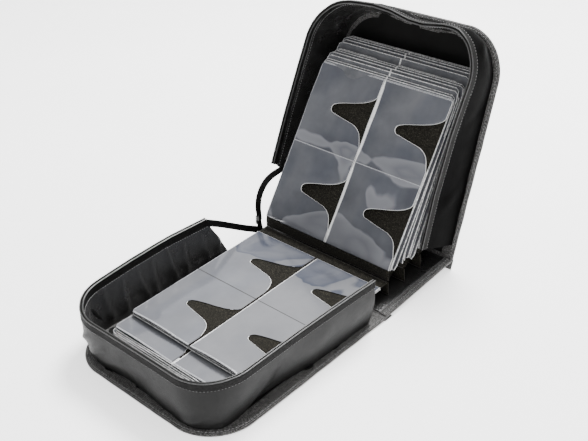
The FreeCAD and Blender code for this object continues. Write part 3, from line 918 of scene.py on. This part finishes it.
def make_film(
    name, shape, rise, flip=False, lip=1.0, side_lip=1.0, slit=2.2, puff=1.5, slack=0.5, seed=0.0, sheet=None
):
    """The clear sheet on one side of a leaf: two columns with fin notches, welded round the edge and across.

    A column's cut edges curl up as lips painted with a bright highlight; on unflipped sheets the lip is
    painted as a dark shadow line where the notch is cut and along most of the slit. flip mirrors the notches
    end for end.
    """
    points, faces, slots, uvs = [], [], [], []
    start = 0
    t_rows = pocket_rows(flip)
    d = np.concatenate([
        MARGIN + t_rows, MARGIN + POCKET + t_rows[1:] if not flip else MARGIN + POCKET + t_rows, [PAGE_LENGTH]
    ])
    d = np.unique(np.round(d, 3))
    t = np.where(d < MARGIN + POCKET, d - MARGIN, d - MARGIN - POCKET)
    t_shape = POCKET - t if flip else t
    shares = np.concatenate([[0, 0.008, 0.03], np.linspace(0.07, 0.95, 22)])
    for left, right, gap, first in ((-PAGE_HALF, 0.0, slit / 2, 0.6), (slit / 2, PAGE_HALF, 0.4, side_lip)):
        limit = notch_limit(t_shape, right) - gap
        wave = 0.5 + 0.5 * np.sin(d * 0.037 + seed + right * 0.01) * np.sin(d * 0.0151 + 2 * seed)
        ends = np.clip(np.minimum(t, POCKET - t) / 16, 0, 1)
        edge = lip * (0.6 + 0.4 * wave)
        border = first * (0.45 + 0.55 * wave) * (0.3 + 0.7 * ends)
        start_x = left + border[:, None]
        x = start_x + (limit[:, None] - edge[:, None] - start_x) * shares[None, :]
        x = np.concatenate([left + 0 * start_x, x, limit[:, None] - edge[:, None] * 0.99, limit[:, None]], 1)
        round_end = PAGE_LENGTH - d
        trim = 8 - np.sqrt(np.clip(64 - np.clip(8 - round_end, 0, 8) ** 2, 0, 64))
        x = np.clip(x, -PAGE_HALF + trim[:, None], PAGE_HALF - trim[:, None])
        pocket = np.sin(np.pi * np.clip(t / POCKET, 0, 1))[:, None] ** 0.55
        across = np.clip((x - left) / (right - left), 0, 1)
        swell = puff * pocket * np.sin(np.pi * np.clip(across, 0.0, 0.97)) ** 0.6
        loose = smooth_noise(np.stack([x, d[:, None] + 0 * x, 0 * x + seed * 50], -1), 44, seed) * 0.9
        loose += smooth_noise(np.stack([x, d[:, None] + 0 * x, 0 * x + seed * 90], -1), 17, seed + 4) * 0.2
        lift = swell + loose * pocket * slack
        lift = np.maximum(lift, -0.1) if puff > 0 else np.minimum(lift, 0.1)
        lift[:, -1] += edge * 0.6
        if left > 0:
            lift[:, 0] += border * 0.8
        grid = shape.at(x, d[:, None], rise + lift)
        rows, cols = grid.shape[:2]
        points.append(grid.reshape(-1, 3))
        uvs.append(np.stack([x, d[:, None] + 0 * x], -1).reshape(-1, 2) * MM)
        for r in range(rows - 1):
            seam = abs((d[r] + d[r + 1]) / 2 - MARGIN - POCKET) < 1.2
            end = d[r] < MARGIN + 0.5 or d[r + 1] > PAGE_LENGTH - 1.2
            cut = 43 <= t_shape[r] <= 71
            for c in range(cols - 1):
                # mouth lip: painted highlight, or a painted shadow line in the cut and slit rows of unflipped
                # sheets; the right column's slit edge: painted highlight
                if c == cols - 2:
                    in_slit = right == 0.0 and not 41 <= t_shape[r] <= 112
                    slots.append(2 if not flip and (cut or in_slit) else 1)
                elif c == 0 and left > 0:
                    slots.append(1)
                # the middle seam of unflipped sheets takes the same dark colour as a thin line; other seams
                # and borders are weld
                elif seam or end or c < 2:
                    slots.append(2 if seam and not flip else 3)
                else:
                    slots.append(0)
        faces += grid_faces(rows, cols, start=start)
        start += rows * cols
    piece = make_piece(
        name, np.concatenate(points), faces, [sheet or FILM, FILM_EDGE_HIGHLIGHT, FILM_SHADE, WELD],
        np.concatenate(uvs), slots, sharp=70
    )
    thicken(piece, 0.25)
    return piece


def make_core(name, shape, rise, thickness, inset=0.6):
    """A leaf's felt, from its fold to its free edge."""
    d = np.concatenate([np.linspace(1.2, MARGIN + 4, 12), np.linspace(MARGIN + 12, PAGE_LENGTH - inset, 50)])
    x = np.linspace(-PAGE_HALF + inset, PAGE_HALF - inset, 50)
    end = np.clip(9 - (PAGE_LENGTH - d), 0, 8.5)
    trim = 8.5 - np.sqrt(np.clip(8.5**2 - end**2, 0, None))
    x = np.clip(x[None, :], -PAGE_HALF + inset + trim[:, None], PAGE_HALF - inset - trim[:, None])
    grid = shape.at(x, d[:, None], rise)
    uv = np.stack([x, d[:, None] + 0 * x], -1) * MM
    return lay_grid(name, grid, FELT, thickness, uv=uv)


def page_stack(name, shapes, body, replaced, reaches=None, seed=1.0):
    """The leaves behind the one that faces the reader. Each has a felt core and two clear sheets that stand
    past it."""
    points, faces, slots, uvs = [], [], [], []
    start = 0
    d_rows = np.concatenate([
        np.linspace(1.5, MARGIN, 8), np.linspace(MARGIN + 6, PAGE_LENGTH - 4, 34),
        [PAGE_LENGTH - 1.2, PAGE_LENGTH]
    ])
    shares = np.concatenate(
        [[0, 0.004], np.linspace(0.03, 0.47, 10), [0.494, 0.506], np.linspace(0.53, 0.97, 10), [0.996, 1.0]]
    )
    for k, shape in enumerate(shapes):
        slide = 2.2 * math.sin(seed * 3.1 + k * 2.3)
        reach = reaches[k] if reaches else 1.6 * math.sin(seed * 1.7 + k * 1.9)
        for layer, rise in (("back", -0.45), ("felt", 0.0), ("front", 0.45)):
            film = layer != "felt"
            inset = 0.0 if film else 2.2
            flare = 0.35 * math.sin(k * 2.1 + (1 if layer == "back" else 2.4))
            d = d_rows if not film else np.concatenate([np.linspace(MARGIN, MARGIN + 4, 4), d_rows[9:]])
            d = np.minimum(d + (reach if film else reach - inset) * (d > MARGIN), PAGE_LENGTH + 10)
            end = np.clip(9 - (PAGE_LENGTH + reach - d), 0, 8)
            trim = 8 - np.sqrt(np.clip(64 - end**2, 0, None))
            half = PAGE_HALF - inset - trim
            x = slide * (d[:, None] > MARGIN) + half[:, None] * (2 * shares[None, :] - 1)
            edge = np.clip(1 - (half[:, None] - np.abs(x - slide)) / 14, 0, 1) ** 2
            wave = flare * edge * np.sin(d[:, None] * 0.045 + seed + k)
            front_wave = 0.5 * np.clip(
                (d[:, None] - PAGE_LENGTH + 30) / 30, 0, 1
            ) * np.sin(x * 0.04 + k * 1.3 + seed)
            grid = shape.at(x, d[:, None], rise + (wave + front_wave) * (1 if film else 0.4))
            rows, cols = grid.shape[:2]
            points.append(grid.reshape(-1, 3))
            uvs.append(np.stack([x, d[:, None] + 0 * x], -1).reshape(-1, 2) * MM)
            for r in range(rows - 1):
                for c in range(cols - 1):
                    if not film:
                        slots.append(2)
                    else:
                        # painted highlight: the sheets' side edges, middle slit and free end are coloured
                        # light
                        rim = c in (0, 12, cols - 2) or r == rows - 2
                        slots.append(1 if rim else 0)
            faces += grid_faces(rows, cols, start=start)
            start += rows * cols
    piece = make_piece(
        name, np.concatenate(points), faces, [STACK, STACK_EDGE_HIGHLIGHT, FELT], np.concatenate(uvs), slots, sharp=70
    )
    thicken(piece, 0.3)
    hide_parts(*replaced)
    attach(piece, body)
    return piece


def lean_line(fold, angle, margin_angle=None, margin=0.0):
    """Places of a leaf that leaves its fold at margin_angle and then runs at angle, both from the floor."""
    places = [(fold[0], fold[1])]
    if margin_angle is not None:
        a = math.radians(margin_angle)
        places.append((fold[0] + margin * math.cos(a), fold[1] + margin * math.sin(a)))
    a = math.radians(angle)
    rest = PAGE_LENGTH - margin
    y0, z0 = places[-1]
    places.append((y0 + rest * math.cos(a), z0 + rest * math.sin(a)))
    return places


def make_pages():
    # booklet 1 lies in the lower tray, under the leaves of booklet 2
    lower_waves = [(-40, 300, 60, 296, 26, -1.6), (-120, 306, -60, 304, 22, 1.0)]
    stack_1 = []
    for k in range(6):
        shape = LeafShape(
            lean_line(FOLD[1], 179.9 + 0.1 * k), lift=3.2 - 1.4 * k, waves=lower_waves if k == 0 else (),
            towards=-1.0
        )
        stack_1.append(shape)
    page_stack(
        "booklet_1_pages", stack_1[1:], "booklet_1", ["booklet_1_leaves"], [2.2, 4.4, 6.4, 8.2, 9.8], seed=2.0
    )
    film = make_film(
        "booklet_1_top_film", stack_1[0], 0.5, lip=1.3, side_lip=0.5, slit=3.2, puff=0.3, slack=0.2, seed=1.3
    )
    core = make_core("booklet_1_top_core", stack_1[0], 0.0, 0.7)
    for piece, slot in ((film, "clear_film"), (core, "felt")):
        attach(piece, "booklet_1")

    top_line = lean_line(FOLD[2], 181.4, margin_angle=181.0, margin=MARGIN)
    top_waves = [
        (-120, 312, -30, 312, 22, 3.4), (10, 312, 100, 312, 26, 4.2), (-110, 60, -60, 40, 30, 0.8),
        (60, 60, 110, 30, 26, -0.6)
    ]
    top = LeafShape(top_line, lift=-0.8, waves=top_waves, towards=-1.0)
    core = make_core("top_page_core", top, -0.1, 0.8)
    film = make_film(
        "top_page_film", top, 0.45, lip=1.3, side_lip=0.5, slit=3.2, puff=0.5, slack=0.3, seed=2.1
    )
    under = make_film("top_page_film_under", top, -0.65, puff=-0.3, slack=0.0, lip=0.6)
    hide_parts("top_leaf_felt_core")
    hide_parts("top_leaf_pocket_films")
    for piece, slot in ((core, "felt"), (film, "clear_film"), (under, "clear_film")):
        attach(piece, "top_leaf")
    below = [LeafShape(
        lean_line(FOLD[2], 181.5, margin_angle=181.3, margin=MARGIN), lift=-2.3 - 1.4 * k, towards=-1.0
    ) for k in range(2)]
    page_stack("booklet_2_lower_pages", below, "booklet_2_lower", ["booklet_2_lower_leaves"], seed=3.0)

    # booklet 2's other half leans in the upper tray: its bare margin stands up, then the page leans back
    waves = [
        (-100, 90, -20, 60, 24, 1.2), (20, 240, 110, 200, 30, 1.4), (-110, 290, -10, 296, 22, -1.6),
        (30, 60, 110, 40, 24, -1.2)
    ]
    front = LeafShape(lean_line(FOLD[2], 56.2, margin_angle=92, margin=MARGIN), lift=-0.6, waves=waves)
    core = make_core("front_page_core", front, -0.1, 0.8)
    # the front page's film is the darker copy: painted shade with painted reflection patches
    film = make_film(
        "front_page_film", front, 0.45, flip=True, lip=1.4, side_lip=4.6, slit=1.2, puff=2.6, slack=1.9,
        seed=0.7, sheet=SHADED_GLOSSY_FILM
    )
    back = make_film("front_page_film_back", front, -0.65, flip=True, puff=-0.4, slack=0.0, lip=0.6)
    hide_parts("front_leaf_felt_core")
    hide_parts("front_leaf_pocket_films")
    for piece, slot in ((core, "felt"), (film, "clear_film"), (back, "clear_film")):
        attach(piece, "front_leaf")
    behind = []
    for k in range(3):
        behind.append(LeafShape(
            lean_line(FOLD[2], 56.8 + 0.15 * k, margin_angle=84 - 14 * k, margin=MARGIN), lift=-1.6 - 1.2 * k
        ))
    page_stack(
        "booklet_2_upper_pages", behind, "booklet_2_upper", ["booklet_2_upper_leaves"], [1.5, 4.0, 6.5],
        seed=5.0
    )
    for number, angle, lead in ((3, 61.0, -8.0), (4, 64.2, -7.0)):
        shapes = []
        for k in range(6):
            line = lean_line(FOLD[number], angle + 0.1 * k, margin_angle=104 - 15 * k, margin=MARGIN)
            shapes.append(LeafShape(line, lift=2.0 - 0.9 * k))
        name = "booklet_%d" % number
        reaches = [lead + 2.7 * k for k in range(6)]
        page_stack(name + "_pages", shapes, name, [name + "_leaves"], reaches, seed=4.0 + number)


def make_strips():
    """Felt strips sewn to the spine that carry each booklet's fold."""
    feet = {1: 9.0, 2: 44.7, 3: 88.0, 4: 133.0}
    for number, fold in FOLD.items():
        foot = spine_points(0, feet[number], 3.6)[1:] / MM
        share = np.linspace(0, 1, 9)
        x = np.linspace(-PAGE_HALF, PAGE_HALF, 60)
        top = np.array([fold[0], fold[1] - 0.6])
        y = foot[0] + (top[0] - foot[0]) * share
        z = foot[1] + (top[1] - foot[1]) * share
        ripple = smooth_noise(
            np.stack(np.meshgrid(share * 20, x, indexing="ij") + [np.zeros((9, 60))], -1), 22, number
        ) * 0.5
        ripple = ripple * np.sin(np.pi * share)[:, None]
        grid = np.stack(np.broadcast_arrays(x[None, :], y[:, None] + ripple, z[:, None]), -1) * MM
        strip = lay_grid("booklet_%d_strip" % number, grid, FELT, 1.3)
        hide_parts("booklet_%d_binding_strip" % number)
        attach(strip, "spine" if number == 1 else "binding_strip_%d" % number)


# ---------------------------------------------------------------- zipper ends


def ribbon(name, route, width, x_place, material, twist=0.0):
    """A flat tape on the far side along a smooth line through (y, z) places."""
    route = np.array(route, float)
    run = np.concatenate([[0], np.cumsum(np.hypot(*np.diff(route, axis=0).T))])
    s = np.linspace(0, run[-1], 60)
    y, z = np.interp(s, run, route[:, 0]), np.interp(s, run, route[:, 1])
    for _ in range(60):
        y[1:-1] = (y[:-2] + y[2:]) / 2
        z[1:-1] = (z[:-2] + z[2:]) / 2
    slope = np.stack([np.gradient(y), np.gradient(z)], -1)
    slope /= np.linalg.norm(slope, axis=1)[:, None]
    across = np.linspace(-0.5, 0.5, 7) * width
    turn = twist * np.sin(np.pi * np.linspace(0, 1, len(s)))
    x = x_place + across[None, :] * np.sin(turn)[:, None]
    yy = y[:, None] - slope[:, 1:] * across * np.cos(turn)[:, None]
    zz = z[:, None] + slope[:, :1] * across * np.cos(turn)[:, None]
    grid = np.stack([x, yy, zz], -1) * MM
    return lay_grid(name, grid, material, 0.9)


def make_zipper_ends():
    """Tails of both tapes, their joined end on the spine, the slider and its pull tab."""
    x_place = -(HALF_X - WALL_INSET)
    rim_low = tray_points("lower", 0, WALL_FAR_END + 2, 90)[1:] / MM
    rim_high = tray_points("upper", 0, WALL_FAR_END + 2, 88)[1:] / MM
    seat = spine_points(0, 51, 33)[1:] / MM
    shift = LOW_CREASE[0]
    low = ribbon(
        "lower_zip_tail", [rim_low, (-50 + shift, 77), (-15 + shift, 55), (20 + shift, 33), (44 + shift, 20)],
        12, x_place, ZIP_TAPE, 0.25
    )
    high = ribbon(
        "upper_zip_tail", [rim_high, (72 + shift, 112), (50 + shift, 88), (45 + shift, 60), (50 + shift, 44)],
        11, x_place, ZIP_TAPE, 0.55
    )
    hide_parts("lower_zipper_tail")
    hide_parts("upper_zipper_tail")
    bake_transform(low)
    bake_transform(high)
    share = np.linspace(0, 1, 16)
    across = np.linspace(-7, 7, 9)
    taper = 1 - 0.45 * share[:, None]
    y_over = spine_points(x_place, 51 + across[None, :] * taper, 4.6 + 26 * share[:, None])
    joined = lay_grid("zip_joined_end", y_over, ZIP_TAPE, 1.6)
    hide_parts("zipper_joined_end")
    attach(joined, "spine")
    for node in ("zipper_slider", "zipper_pull_tab"):
        cad = frame["nodes"][node]
        cad.data.materials.clear()
        cad.data.materials.append(ENAMEL)


# ---------------------------------------------------------------- stage


def make_stage():
    """Pale floor, soft studio light, and the camera above the front right."""
    floor_mesh = bpy.data.meshes.new("floor")
    reach = 30.0
    floor_mesh.from_pydata(
        [(-reach, -reach, 0), (reach, -reach, 0), (reach, reach, 0), (-reach, reach, 0)], [], [(0, 1, 2, 3)]
    )
    floor = bpy.data.objects.new("floor", floor_mesh)
    bpy.context.scene.collection.objects.link(floor)
    paint = Shader("floor", 0.9, specular=0.1)
    paint.colour(paint.ramp(paint.noise(3, 2), [(0.4, grey(0.93)), (0.6, grey(0.95))]))
    paint.shader.inputs["Emission Color"].default_value = (1, 1, 1, 1)
    paint.shader.inputs["Emission Strength"].default_value = 1.4
    floor_mesh.materials.append(paint.material)

    make_studio_sky()
    add_light("key", (-0.3, 1.45, 2.5), (0, 0, 0.1), 1.1, 205)
    add_light("top", (0.3, 0.5, 2.9), (0, 0, 0), 1.6, 25)
    add_light("front", (0.9, -2.4, 1.2), (0, 0, 0.1), 0.9, 12)

    azimuth, elevation, roll = math.radians(42.73), math.radians(31.5), math.radians(-1.79)
    ahead = Vector((
        -math.sin(azimuth) * math.cos(elevation), math.cos(azimuth) * math.cos(elevation),
        -math.sin(elevation)
    ))
    level = Vector((math.cos(azimuth), math.sin(azimuth), 0))
    above = level.cross(ahead)
    right = level * math.cos(roll) + above * math.sin(roll)
    up = above * math.cos(roll) - level * math.sin(roll)
    turn = Matrix((right, up, -ahead)).transposed()
    data = bpy.data.cameras.new("camera")
    data.sensor_width = 36
    data.lens = 56.154
    camera = bpy.data.objects.new("camera", data)
    camera.matrix_world = Matrix.Translation((0.8294, -0.8955, 0.8827)) @ turn.to_4x4()
    bpy.context.scene.collection.objects.link(camera)
    bpy.context.scene.camera = camera


def make_studio_sky():
    """White surroundings behind and above the binder, and a dimmer room in front of it."""
    world = bpy.data.worlds.new("studio")
    world.use_nodes = True
    nodes, links = world.node_tree.nodes, world.node_tree.links
    place = nodes.new("ShaderNodeTexCoord")
    split = nodes.new("ShaderNodeSeparateXYZ")
    links.new(place.outputs["Generated"], split.inputs["Vector"])
    reach = nodes.new("ShaderNodeMath")
    reach.operation = "MULTIPLY_ADD"
    reach.inputs[1].default_value = 0.9
    links.new(split.outputs["Z"], reach.inputs[0])
    links.new(split.outputs["Y"], reach.inputs[2])
    shade = nodes.new("ShaderNodeMapRange")
    shade.interpolation_type = "SMOOTHSTEP"
    shade.inputs["From Min"].default_value = -0.35
    shade.inputs["From Max"].default_value = 0.35
    shade.inputs["To Min"].default_value = 0.22
    shade.inputs["To Max"].default_value = 1.0
    links.new(reach.outputs["Value"], shade.inputs["Value"])
    links.new(shade.outputs["Result"], nodes["Background"].inputs["Strength"])
    nodes["Background"].inputs["Color"].default_value = (1, 1, 1, 1)
    bpy.context.scene.world = world


def add_light(name, place, target, size, power):
    data = bpy.data.lights.new(name, "AREA")
    data.shape = "DISK"
    data.size = size
    data.energy = power
    light = bpy.data.objects.new(name, data)
    light.location = place
    light.rotation_euler = (Vector(target) - Vector(place)).to_track_quat("-Z", "Y").to_euler()
    bpy.context.scene.collection.objects.link(light)


make_stage()
for tray in ("lower", "upper"):
    make_tray(tray)
    make_crease(tray)
make_spine()
make_strips()
make_pages()
make_zipper_ends()
